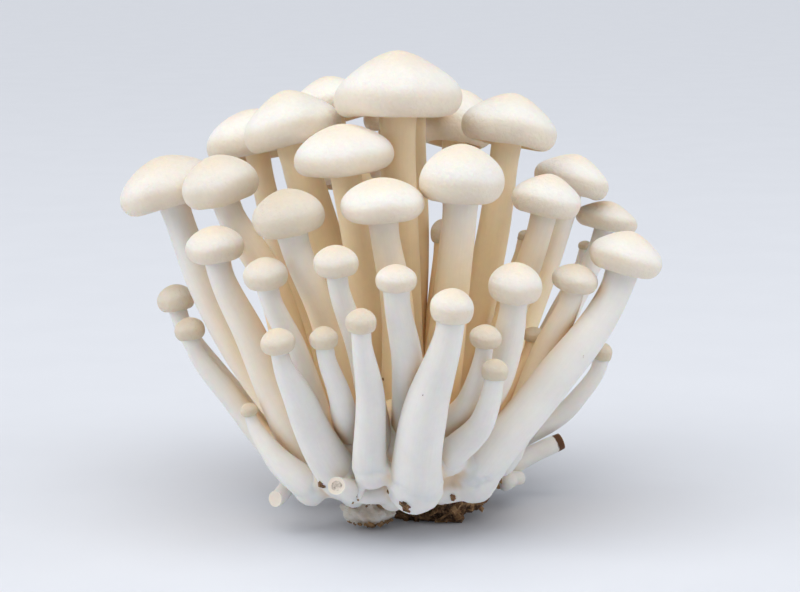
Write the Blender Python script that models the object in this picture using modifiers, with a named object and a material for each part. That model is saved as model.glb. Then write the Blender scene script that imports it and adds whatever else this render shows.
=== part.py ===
"""A cluster of white beech mushrooms on one cut base, modelled piece by piece.

Frame: the origin is the middle of the cut underside of the base, +Z is up and -Y is the front.
Plan values are in millimetres and degrees; bodies are made in metres.
"""

import bmesh
import bpy
import numpy as np
from mathutils import Vector

MM = 0.001

# Clear space kept between neighbouring pieces, and above the ground
GAP = 0.45
GROUND_CLEARANCE = 0.5

# The mound that every stem grows from: centre, half widths and the height of its flat underside
MOUND_CENTRE = (3.0, 1.0, 4.0)
MOUND_HALF = (11.5, 11.5, 9.5)
MOUND_FLOOR = 6.6

# The cut block of growing medium under the mound
BLOCK_CENTRE = (4.0, 2.0)
BLOCK_HALF = (13.5, 11.5)
BLOCK_HEIGHT = 6.2
# Width of the block's underside as a share of its top's
BLOCK_WAIST = 0.78

# The pale lump of threads beside the block
LUMP_CENTRE = (-6.0, -12.0, 3.0)
LUMP_HALF = (5.0, 4.0, 3.0)

# Everything that grows, group by group and numbered within its group. A row gives the foot, the
# bend and the neck of the stem, the lean of its cap to the side and to the front, width and height
# of the cap, and the stem's radius at foot, bend and neck. A cut stem, or stub, has no cap.
GROWTH = {
    "crown_mushroom": (
        ((1.5, 1, 18.5), (0.5, -1, 49), (0, -2, 77), (0, -5), (23.5, 11.4), (3.6, 3.2, 3.2)),
        ((-4.5, 3, 15.5), (-14.5, 4, 52), (-20, 4, 71), (-12, -7), (18.4, 9.9), (3.7, 3.6, 3.4)),
        ((9.5, 0, 16.5), (18, 1.5, 52.5), (20.5, 2, 71), (10, -8), (18.1, 9.2), (3.6, 3, 2.6)),
        ((-1.5, -6, 15), (-7.5, -11, 53.5), (-10, -12, 67.5), (-6, 0), (18.1, 8.2), (3.6, 3, 2.7)),
        ((3.5, 6, 17), (5, 8, 47.5), (4.5, 11.5, 75.5), (2, -6), (11.4, 6.6), (2.5, 1.7, 1.3)),
        ((1, 12, 16.5), (-0.5, 24, 47), (-2.5, 28, 71), (0, -8), (10, 6), (2.6, 2.2, 1.8)),
        ((-1, 9, 17.5), (-5, 18.5, 55), (-14, 20, 73), (-10, -12), (16.9, 8.2), (2.8, 2.2, 2)),
        ((6, 9, 17), (11, 19, 49), (11, 21, 69.5), (6, -14), (15.5, 10.4), (3, 2.6, 2.2)),
        ((-8, 9, 13.5), (-23.5, 18.5, 51), (-27, 20, 67.5), (-10, -12), (18.9, 8.9), (3, 2.4, 2.2)),
    ),
    "front_mushroom": (
        ((6, -8, 14.5), (10, -18.5, 51), (11, -20, 63.5), (2, 3), (15.1, 9.3), (3.9, 3.1, 2.9)),
        ((0.5, -12, 13.5), (-0.5, -22, 45), (-3, -24, 60.5), (-3, 3), (14.9, 6.8), (3.5, 2.7, 2.5)),
        ((-6, -13, 13), (-14, -22.5, 42.5), (-19.5, -25, 58), (-10, 4), (12.8, 7.3), (3.5, 2.7, 2.5)),
        ((13, -14, 19), (18.5, -21, 31), (21, -26, 46), (4, 5), (9.8, 6.4), (3.5, 2.9, 2.3)),
        ((-4, -17, 12), (-8.5, -29, 38.5), (-12, -32, 52), (-3, 5), (8, 4.9), (2.9, 2.2, 1.7)),
        ((-10, -14, 14.5), (-18, -26, 37), (-23, -28, 49), (-7, 5), (8.1, 5), (2.8, 2.2, 1.8)),
        ((2.5, -25, 12), (4, -35.5, 28.5), (8.5, -40, 45.5), (5, 5), (7.7, 5.3), (4.6, 3.7, 2.2)),
        ((-1, -17, 16.5), (0, -34.5, 37.5), (-1.5, -38, 50), (0, 5), (7.1, 4.1), (3.1, 2.8, 2.1)),
        ((-10, -20.5, 12.5), (-17, -31, 29), (-20.5, -36, 39), (-8, 5), (6.1, 4), (3.7, 2.9, 1.4)),
        ((7.5, -20, 19.5), (12.5, -27.5, 28), (15, -30, 38.5), (5, 5), (5.7, 3.7), (2.5, 2.1, 1.4)),
        ((-4.5, -28.5, 15), (-5, -37, 31), (-6.5, -42, 43.5), (0, 5), (5.3, 3.8), (3.1, 2.3, 1.5)),
        ((-7.5, -17, 17), (-10, -32.5, 30.5), (-12.5, -36, 39.5), (-4, 5), (5, 3.5), (2.4, 2.1, 1.4)),
        ((8.5, -24, 15.5), (14.5, -31, 24.5), (16.5, -34, 33.5), (6, 5), (4.7, 3.2), (2.8, 2.2, 1.6)),
    ),
    "left_mushroom": (
        ((-15.5, -1, 11), (-37, 3, 42), (-43, 4, 59.5), (-18, 0), (18.7, 8.6), (3.6, 3.1, 2.7)),
        ((-12.5, -6, 12), (-26, -6, 48), (-33.5, -6, 61.5), (-15, 2), (14.5, 8.2), (3.9, 3, 2.4)),
        ((-13, -12, 10.5), (-26.5, -15, 36.5), (-33, -16, 52), (-7, 3), (10.9, 5.8), (3.5, 3.1, 2.2)),
        ((-18.5, 6, 9), (-35, 10, 24), (-43.5, 12, 37.5), (-10, -3), (7.4, 4.7), (2.7, 2.1, 1.6)),
        ((-19.5, 0, 9), (-31.5, 4, 21), (-40, 6, 33), (-10, 0), (6, 3.9), (2.5, 2.1, 1.5)),
    ),
    "right_mushroom": (
        ((9.5, -21, 12), (24, -18, 29), (39, -9, 49.5), (14, 0), (13.5, 7.1), (4, 3.5, 2.8)),
        ((11, -4, 12.5), (22, -7, 42.5), (27, -8, 59), (11, 0), (13.1, 7), (3.4, 2.8, 2.2)),
        ((12, 4, 13), (28, 11, 46), (32.5, 12, 60.5), (14, -6), (14.7, 7.2), (3.3, 2.5, 2.3)),
        ((14.5, 6, 9.5), (31.5, 13, 37), (39, 15, 53), (12, -6), (12.1, 5.3), (3.1, 2.3, 1.8)),
        ((14, -7, 14), (25, -9, 31.5), (32, -12, 45.5), (10, 2), (8.7, 4.6), (3.4, 2.8, 1.8)),
    ),
    "bud_mushroom": (
        ((-14, -17, 10), (-21.5, -16, 16), (-26.5, -14, 23), (-14, 3), (3.3, 2.2), (3.1, 1.8, 0.9)),
        ((15.5, 10, 8.5), (33.5, 15.5, 18), (39.5, 18, 26.5), (8, -2), (4, 3.2), (2.4, 1.8, 1.4)),
        ((6, 4, 16), (6, 7.5, 40), (7, 8, 51.5), (2, -2), (4.2, 4.2), (2.2, 1.5, 1.2)),
        ((13, 10, 13.5), (20.5, 15, 38.5), (24.5, 16, 50.5), (8, -2), (2.7, 1.8), (2.3, 1.6, 1.2)),
        ((14.5, 10, 9.5), (31, 18.5, 36), (36.5, 20, 48), (8, -2), (2.8, 1.6), (2.1, 1.4, 1)),
        ((10, -8, 11.5), (21, -6, 26), (24.5, -4, 34.5), (8, 0), (4.2, 2.5), (2.2, 1.7, 1.3)),
    ),
    "back_mushroom": (
        ((-1.5, 14, 13.5), (-6, 31, 43), (-9, 36, 59), (-4, -14), (16, 7.5), (3.1, 2.8, 2.4)),
        ((0.5, 18, 9.5), (-0.5, 35.5, 35), (-3.5, 40, 52), (0, -12), (14.5, 7), (3.1, 2.6, 2.3)),
        ((6, 16, 11), (10.5, 32, 40.5), (12.5, 36, 58), (3, -12), (14.7, 8.2), (3.1, 2.8, 2.5)),
        ((-6.5, 16, 8.5), (-15.5, 31.5, 32.5), (-22.5, 36, 50), (-10, -8), (12.3, 7), (3.1, 2.6, 2.3)),
        ((10, 13, 14), (18, 26.5, 47), (21.5, 30, 68.5), (8, -16), (15.7, 7.6), (3.1, 2.8, 2.4)),
        ((-5, 13, 14), (-16, 28.5, 45.5), (-22.5, 33, 67), (-8, -16), (14, 7), (3.1, 2.8, 2.4)),
        ((0, 22, 6), (0, 39.5, 21.5), (-2, 46, 36), (0, -6), (8.4, 5.5), (3.1, 2.9, 2.1)),
        ((5, 22, 6), (8, 36.5, 17), (10.5, 44, 30.5), (4, -6), (8.8, 5.7), (3.1, 3.1, 2.3)),
        ((-6, 21, 6.5), (-10.5, 38.5, 25), (-13.5, 44, 40), (-6, -6), (9.2, 5.2), (2.9, 2.7, 2.1)),
        ((9, 16, 7.5), (20, 29, 22.5), (24.5, 34, 36), (6, -6), (10.3, 6.8), (3.1, 2.8, 2.5)),
        ((12, 12, 10.5), (24, 24.5, 37), (29.5, 28, 55), (10, -10), (12.1, 6.4), (3.1, 2.8, 2.2)),
        ((-12, 10, 10.5), (-25.5, 23, 40), (-35.5, 26, 58), (-13, -10), (13.2, 7.2), (3, 2.8, 2.2)),
    ),
    "stub": (
        ((20, 6, 7), (25.5, 8.5, 9), (31.5, 11, 11), (62, -20), (0, 0), (2, 1.7, 1.6)),
        ((20, 2, 5), (21.5, 4, 5.5), (23, 6, 5.5), (55, -35), (0, 0), (1.6, 1.4, 1.3)),
        ((-8.5, -27, 11.4), (-9.9, -29.5, 12.5), (-11.2, -32, 13.5), (-15, 70), (0, 0), (2, 1.7, 1.6)),
        ((-18.9, -12, 9.1), (-20.8, -14.5, 8.1), (-22.8, -17, 7), (-35, 50), (0, 0), (1.6, 1.5, 1.5)),
        ((-20.5, -2, 10), (-22.5, -3.5, 11), (-24, -5, 12), (-50, 35), (0, 0), (1, 0.9, 0.8)),
    ),
}
ROWS = tuple(
    (f"{group}_{number}", *row)
    for group, rows in GROWTH.items()
    for number, row in enumerate(rows, 1)
)

# Stations along a stem while the stems are spread apart, and rounds of spreading
STATIONS = 15
SPREAD_ROUNDS = 240
# How readily a stem gives way sideways, front to back and up or down
YIELD = np.array([0.7, 1.0, 0.35])
# Stiffness of the spring that draws a stem back to its planned line each round
RETURN = 0.01

# Cap outline from rim to crown: share of the half width, share of the height
CAP_OUTLINE = (
    (0.90, 0.02),
    (1.00, 0.16),
    (0.975, 0.33),
    (0.87, 0.52),
    (0.66, 0.73),
    (0.38, 0.91),
    (0.12, 0.99),
)
# Balls that stand for a cap while stems are spread: rows of (count, share of half width out,
# share of height up, share of half width as radius)
CAP_BALLS = ((12, 0.72, 0.22, 0.29), (6, 0.46, 0.55, 0.30), (1, 0.0, 0.42, 0.42))

STEM_RINGS = 7
WIDE_CAP = 11.0
DOME_SIDES = 20
DOME_STEPS = 7
BLOCK_SIDES = 28


def smooth_line(foot, bend, neck, start, end, count):
    """Points along a stem: two cubic pieces that meet smoothly at the bend."""
    foot, bend, neck = (np.array(p, float) for p in (foot, bend, neck))
    low = np.linalg.norm(bend - foot)
    high = np.linalg.norm(neck - bend)
    middle = (bend - foot) / low * high + (neck - bend) / high * low
    middle /= np.linalg.norm(middle)
    share = low / (low + high)

    def piece(a, ta, b, tb, t):
        t = t[:, None]
        return (
            (2 * t**3 - 3 * t**2 + 1) * a
            + (t**3 - 2 * t**2 + t) * ta
            + (3 * t**2 - 2 * t**3) * b
            + (t**3 - t**2) * tb
        )

    u = np.linspace(0.0, 1.0, count)
    lower = piece(foot, start * low, bend, middle * low, np.clip(u / share, 0, 1))
    upper = piece(
        bend, middle * high, neck, end * high, np.clip((u - share) / (1 - share), 0, 1)
    )
    return np.where((u < share)[:, None], lower, upper)


def cap_axis(lean):
    """Unit direction of a cap that leans to the side and to the front by these degrees."""
    side, front = np.radians(lean)
    x, y = np.sin(side), -np.sin(front)
    return np.array([x, y, np.sqrt(1 - x * x - y * y)])


def foot_direction(foot):
    """Unit direction in which a stem leaves the mound: outwards, and a little upwards."""
    out = np.array(foot) - np.array(MOUND_CENTRE)
    out /= np.linalg.norm(out)
    out[2] += 0.5
    return out / np.linalg.norm(out)


def stem_radii(radii, count):
    """Radius at each station: full at the foot, slimmer at the bend, slim at the neck."""
    foot, bend, neck = radii
    u = np.linspace(0.0, 1.0, count)
    swell = np.interp(u, (0.0, 0.10, 0.30, 0.55, 1.0), (0.92, 1.0, 0.72, 0.28, 0.0))
    return bend + (foot - bend) * swell + (neck - bend) * np.clip(2 * u - 1, 0, 1) ** 1.3


def cap_balls(axis, width, height):
    """Centres and radii of the balls that fill a cap, from its neck."""
    across = np.cross(axis, (0.0, 1.0, 0.0))
    across /= np.linalg.norm(across)
    along = np.cross(axis, across)
    centres, radii = [], []
    for count, out, up, size in CAP_BALLS:
        for turn in np.linspace(0, 2 * np.pi, count, endpoint=False):
            side = np.cos(turn) * across + np.sin(turn) * along
            centres.append(axis * up * height + side * out * width / 2)
            radii.append(size * width / 2)
    return np.array(centres), np.array(radii)


def planned_lines():
    """Every stem's line as planned, before neighbours are spread apart."""
    return np.array(
        [
            smooth_line(foot, bend, neck, foot_direction(foot), cap_axis(lean), STATIONS)
            for _, foot, bend, neck, lean, _, _ in ROWS
        ]
    )


def push_from_base(points, radii):
    """Moves that carry stations out of the mound, the block, the lump and the ground."""
    move = np.zeros_like(points)
    room = radii + GAP
    for centre, half in (
        (MOUND_CENTRE, MOUND_HALF),
        (LUMP_CENTRE, LUMP_HALF),
    ):
        reach = points - np.array(centre)
        grown = np.array(half) + room[..., None]
        depth = np.linalg.norm(reach / grown, axis=-1)
        inside = np.clip(1.0 / np.maximum(depth, 0.05) - 1.0, 0.0, 1.0)
        move += reach * inside[..., None]
    flat = points[..., :2] - np.array(BLOCK_CENTRE)
    far = np.linalg.norm(flat / (np.array(BLOCK_HALF) + room[..., None]), axis=-1)
    low = points[..., 2] - radii < BLOCK_HEIGHT + GAP
    short = np.where(low, np.clip(1.0 / np.maximum(far, 0.3) - 1.0, 0.0, 1.0), 0.0)
    move[..., :2] += flat * short[..., None] * 0.5
    sunk = np.clip(radii + GROUND_CLEARANCE - points[..., 2], 0, None)
    move[..., 2] += sunk
    return move


def spread_lines():
    """Every stem's line after neighbours that would touch have leaned off one another.

    Each stem is a chain of balls and each cap a cluster of balls that rides on the neck. Two
    balls of different mushrooms that come closer than the gap move apart by half the lack each,
    and every chain is smoothed and drawn back towards its planned line.
    """
    planned = planned_lines()
    rows = ROWS
    count = len(rows)
    radii = np.array([stem_radii(row[6], STATIONS) for row in rows])
    caps = [cap_balls(cap_axis(row[4]), *row[5]) for row in rows]
    cap_at = np.array([c for c, _ in caps])
    cap_size = np.array([r for _, r in caps])
    size = np.concatenate([radii, cap_size], axis=1).ravel()
    owner = np.repeat(np.arange(count), STATIONS + cap_size.shape[1])
    needed = size[:, None] + size[None, :] + GAP
    needed[owner[:, None] == owner[None, :]] = 0.0
    shift = np.zeros_like(planned)
    for turn in range(SPREAD_ROUNDS):
        lines = planned + shift
        balls = np.concatenate([lines, lines[:, -1:] + cap_at], axis=1).reshape(-1, 3)
        square = (balls**2).sum(1)
        apart = square[:, None] + square[None, :] - 2.0 * balls @ balls.T
        apart = np.sqrt(np.clip(apart, 1e-9, None))
        lack = np.clip(needed - apart, 0.0, None)
        weight = lack / apart
        push = balls * weight.sum(1)[:, None] - weight @ balls
        touching = np.maximum((lack > 0).sum(1), 1)[:, None]
        push = (0.5 * push / touching).reshape(count, -1, 3)
        move = push[:, :STATIONS] * 2.4
        head = push[:, STATIONS:]
        hit = np.maximum((np.abs(head).sum(-1) > 0).sum(1), 1)
        move[:, -1] += head.sum(1) / hit[:, None]
        shift += move * YIELD
        shift += push_from_base(planned + shift, radii)
        inner = shift.copy()
        inner[:, 1:-1] = (shift[:, :-2] + 2 * shift[:, 1:-1] + shift[:, 2:]) / 4
        inner[:, 0] = (shift[:, 0] * 3 + shift[:, 1]) / 4
        inner[:, -1] = (shift[:, -1] * 3 + shift[:, -2]) / 4
        shift = inner * (1.0 - RETURN * (1.0 - turn / SPREAD_ROUNDS))
    return planned + shift


def along(line, share):
    """Point at a share of a line's stations, and the line's direction there."""
    place = share * (len(line) - 1)
    index = min(int(place), len(line) - 2)
    part = place - index
    step = line[index + 1] - line[index]
    return line[index] * (1 - part) + line[index + 1] * part, step / np.linalg.norm(step)


def mushroom_rings(line, lean, cap, radii):
    """Ring centres and radii from the rounded foot, up the stem and over the cap."""
    axis = cap_axis(lean)
    width, height = cap
    profile = stem_radii(radii, len(line))
    foot, out = line[0], line[1] - line[0]
    out = out / np.linalg.norm(out)
    rings = [
        (foot - out * profile[0] * 0.80, profile[0] * 0.42),
        (foot - out * profile[0] * 0.50, profile[0] * 0.80),
    ]
    for share in np.linspace(0.0, 1.0, STEM_RINGS):
        point, _ = along(line, share)
        rings.append((point, np.interp(share * (len(line) - 1), range(len(line)), profile)))
    if width == 0:
        return rings
    neck = line[-1]
    for out_share, up_share in CAP_OUTLINE:
        rings.append((neck + axis * height * up_share, width / 2 * out_share))
    return rings


def curve_piece(name, rings, sides, material, home):
    """A closed body through the rings: a bevelled line whose radius changes, with filled ends."""
    data = bpy.data.curves.new(name, "CURVE")
    data.dimensions = "3D"
    data.fill_mode = "FULL"
    data.use_fill_caps = True
    data.bevel_depth = MM
    data.bevel_resolution = sides
    origin = np.array(rings[0][0])
    spline = data.splines.new("POLY")
    spline.points.add(len(rings) - 1)
    for point, (centre, radius) in zip(spline.points, rings):
        place = (np.array(centre) - origin) * MM
        point.co = (place[0], place[1], place[2], 1.0)
        point.radius = radius
    piece = bpy.data.objects.new(name, data)
    piece.location = Vector(origin * MM)
    data.materials.append(material)
    home.objects.link(piece)
    return piece


def plain_material(name, colour, roughness):
    """A Principled surface with one colour and roughness."""
    material = bpy.data.materials.new(name)
    material.use_nodes = True
    shader = material.node_tree.nodes["Principled BSDF"]
    shader.inputs["Base Color"].default_value = (*colour, 1.0)
    shader.inputs["Roughness"].default_value = roughness
    shader.inputs["Metallic"].default_value = 0.0
    return material


def dome(name, material, home):
    """The mound: a half outline turned about its axis, round on top and flat underneath."""
    centre, half = np.array(MOUND_CENTRE), MOUND_HALF
    low = np.arcsin((MOUND_FLOOR - centre[2]) / half[2])
    angles = np.linspace(np.pi / 2, low, DOME_STEPS)
    outline = [(half[0] * np.cos(a) * MM, half[2] * np.sin(a) * MM) for a in angles]
    outline[0] = (0.0, outline[0][1])
    outline.append((0.0, outline[-1][1]))
    data = bpy.data.meshes.new(name)
    data.from_pydata(
        [(x, 0.0, z) for x, z in outline],
        [(i, i + 1) for i in range(len(outline) - 1)],
        [],
    )
    piece = bpy.data.objects.new(name, data)
    piece.location = Vector(centre * MM)
    turn = piece.modifiers.new("Turn", "SCREW")
    turn.steps = turn.render_steps = DOME_SIDES
    turn.use_merge_vertices = True
    turn.merge_threshold = 0.00001
    turn.use_smooth_shade = True
    data.materials.append(material)
    home.objects.link(piece)
    return piece


def crumbled_block(name, material, home):
    """The cut block: a short drum with a flat top and underside and a torn, wavy side."""
    shape = bmesh.new()
    bmesh.ops.create_cone(
        shape,
        cap_ends=True,
        segments=BLOCK_SIDES,
        radius1=1.0,
        radius2=1.0,
        depth=BLOCK_HEIGHT,
    )
    upright = [e for e in shape.edges if abs(e.verts[0].co.z - e.verts[1].co.z) > 1.0]
    bmesh.ops.subdivide_edges(shape, edges=upright, cuts=2, use_grid_fill=True)
    for vert in shape.verts:
        turn = np.arctan2(vert.co.y, vert.co.x)
        high = vert.co.z / BLOCK_HEIGHT
        torn = 1.0 + 0.05 * np.sin(3 * turn + 1.0) + 0.035 * np.sin(7 * turn + 9 * high)
        torn += 0.025 * np.sin(13 * turn - 14 * high)
        flare = BLOCK_WAIST + (1.0 - BLOCK_WAIST) * (high + 0.5) ** 0.7
        vert.co.x *= BLOCK_HALF[0] * torn * flare
        vert.co.y *= BLOCK_HALF[1] * torn * flare
        vert.co.z += BLOCK_HEIGHT / 2
        vert.co *= MM
    data = bpy.data.meshes.new(name)
    shape.to_mesh(data)
    shape.free()
    piece = bpy.data.objects.new(name, data)
    piece.location = (BLOCK_CENTRE[0] * MM, BLOCK_CENTRE[1] * MM, 0.0)
    data.materials.append(material)
    home.objects.link(piece)
    return piece


def lump(name, material, home):
    """The pale lump: a squashed ball that rests on a small flat."""
    shape = bmesh.new()
    bmesh.ops.create_uvsphere(shape, u_segments=16, v_segments=10, radius=1.0)
    for vert in shape.verts:
        vert.co.x *= LUMP_HALF[0]
        vert.co.y *= LUMP_HALF[1]
        vert.co.z = max(vert.co.z, -0.96) * LUMP_HALF[2]
        vert.co *= MM
    bmesh.ops.remove_doubles(shape, verts=shape.verts, dist=0.00001)
    data = bpy.data.meshes.new(name)
    shape.to_mesh(data)
    shape.free()
    data.shade_smooth()
    piece = bpy.data.objects.new(name, data)
    rest = 0.96 * LUMP_HALF[2]
    piece.location = (LUMP_CENTRE[0] * MM, LUMP_CENTRE[1] * MM, rest * MM)
    data.materials.append(material)
    home.objects.link(piece)
    return piece


def build():
    """Clears the scene and makes every piece."""
    for old in list(bpy.data.objects):
        bpy.data.objects.remove(old)
    home = bpy.data.collections.new("beech_mushroom_cluster")
    bpy.context.scene.collection.children.link(home)
    ivory = plain_material("mushroom_flesh", (0.86, 0.78, 0.66), 0.55)
    tan = plain_material("bud_flesh", (0.72, 0.60, 0.42), 0.6)
    thread = plain_material("mycelium", (0.82, 0.76, 0.66), 0.8)
    soil = plain_material("substrate", (0.16, 0.09, 0.05), 0.9)
    for row, line in zip(ROWS, spread_lines()):
        name, _, _, _, lean, cap, radii = row
        rings = mushroom_rings(line, lean, cap, radii)
        sides = 3 if cap[0] > WIDE_CAP else 2
        skin = tan if name.startswith("bud") else ivory
        curve_piece(name, rings, sides, skin, home)
    dome("mycelium_mound", thread, home)
    lump("mycelium_lump", thread, home)
    crumbled_block("substrate_block", soil, home)


build()
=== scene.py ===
"""Looks of a cluster of white beech mushrooms on one cut base.

Plan values are in millimetres and degrees; every surface is made in metres. A mushroom is one
closed surface: a profile carried along its stem's line, from the round foot over the stem, the
gills, the rolled rim and the cap to its crown.
"""

import bpy
import numpy as np
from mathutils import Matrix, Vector
from mathutils.bvhtree import BVHTree


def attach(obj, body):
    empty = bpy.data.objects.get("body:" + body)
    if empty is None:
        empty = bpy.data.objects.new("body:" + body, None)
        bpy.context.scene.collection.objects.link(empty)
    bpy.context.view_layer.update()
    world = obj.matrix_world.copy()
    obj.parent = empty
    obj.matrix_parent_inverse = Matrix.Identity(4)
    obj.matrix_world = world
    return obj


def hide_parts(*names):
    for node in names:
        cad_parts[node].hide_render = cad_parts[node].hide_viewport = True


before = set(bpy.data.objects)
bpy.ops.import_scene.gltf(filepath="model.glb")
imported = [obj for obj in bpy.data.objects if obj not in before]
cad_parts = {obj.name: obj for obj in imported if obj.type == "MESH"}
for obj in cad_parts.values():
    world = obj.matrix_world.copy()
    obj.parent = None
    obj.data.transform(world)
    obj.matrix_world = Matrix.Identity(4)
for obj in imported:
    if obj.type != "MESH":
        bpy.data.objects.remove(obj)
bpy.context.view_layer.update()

MM = 0.001

# Clear space kept between neighbouring pieces, and above the ground
GAP = 0.45
GROUND_CLEARANCE = 0.5

# The mound that every stem grows from: centre, half widths and the height of its flat underside
MOUND_CENTRE = (3.0, 1.0, 4.0)
MOUND_HALF = (11.5, 11.5, 9.5)
MOUND_FLOOR = 6.6

# The cut block of growing medium under the mound
BLOCK_CENTRE = (4.0, 2.0)
BLOCK_HALF = (13.5, 11.5)
BLOCK_HEIGHT = 6.2
# Width of the block's underside as a share of its top's
BLOCK_WAIST = 0.78

# The pale lump of threads beside the block
LUMP_CENTRE = (-6.0, -12.0, 3.0)
LUMP_HALF = (5.0, 4.0, 3.0)

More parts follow.
